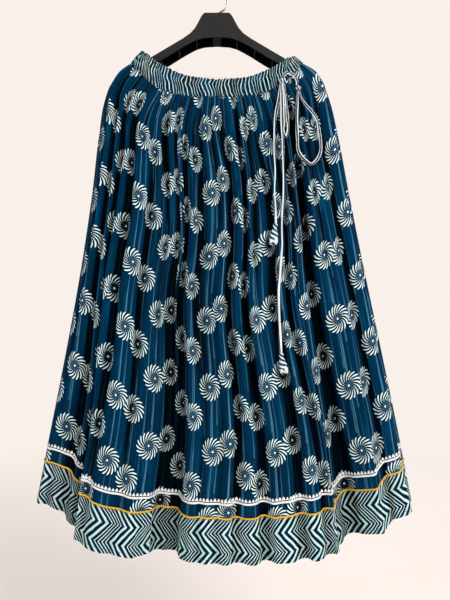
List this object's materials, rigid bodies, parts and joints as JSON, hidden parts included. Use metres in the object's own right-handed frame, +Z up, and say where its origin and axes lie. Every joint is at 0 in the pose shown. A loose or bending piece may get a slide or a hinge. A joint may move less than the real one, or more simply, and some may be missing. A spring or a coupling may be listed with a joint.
{
  "type": "maxi skirt on a hanger",
  "caption": "Gathered maxi skirt with an elastic drawstring waist, chevron border, piping and picot lace, hung flat on a plastic hanger with a wire hook.",
  "frame": {"origin": "top of the inside of the hook's crook, where a rail or a wall hook carries the hanger", "axes": "+Z up, along the hanging skirt; front of the skirt faces -Y; +X to the right as seen from the front"},
  "size_m": [0.7487, 0.1611, 1.1264],
  "materials": {
    "flower_print": "indigo cotton with white block-printed flowers",
    "chevron_print": "indigo cotton with pale zigzag stripes",
    "piping": "mustard corded piping",
    "lace": "off-white picot edging",
    "drawstring": "folded blue and white cloth tie",
    "hanger_plastic": "satin black moulding",
    "hook_wire": "polished wire"
  },
  "bodies": {
    "root": {"body_front": "flower_print", "body_back": "flower_print", "border_front": "chevron_print", "border_back": "chevron_print", "waistband": "chevron_print", "piping_front": "piping", "piping_back": "piping", "lace_front": "lace", "lace_back": "lace", "tie_knot": "drawstring", "tie_pinch": "drawstring", "tie_bridge": "drawstring", "tail_short": "drawstring", "tail_long": "drawstring", "loop_left": "drawstring", "loop_right": "drawstring", "tassel_short": "drawstring", "tassel_long": "drawstring", "hanger_body": "hanger_plastic", "hanger_hook": "hook_wire"}
  },
  "joints": []
}
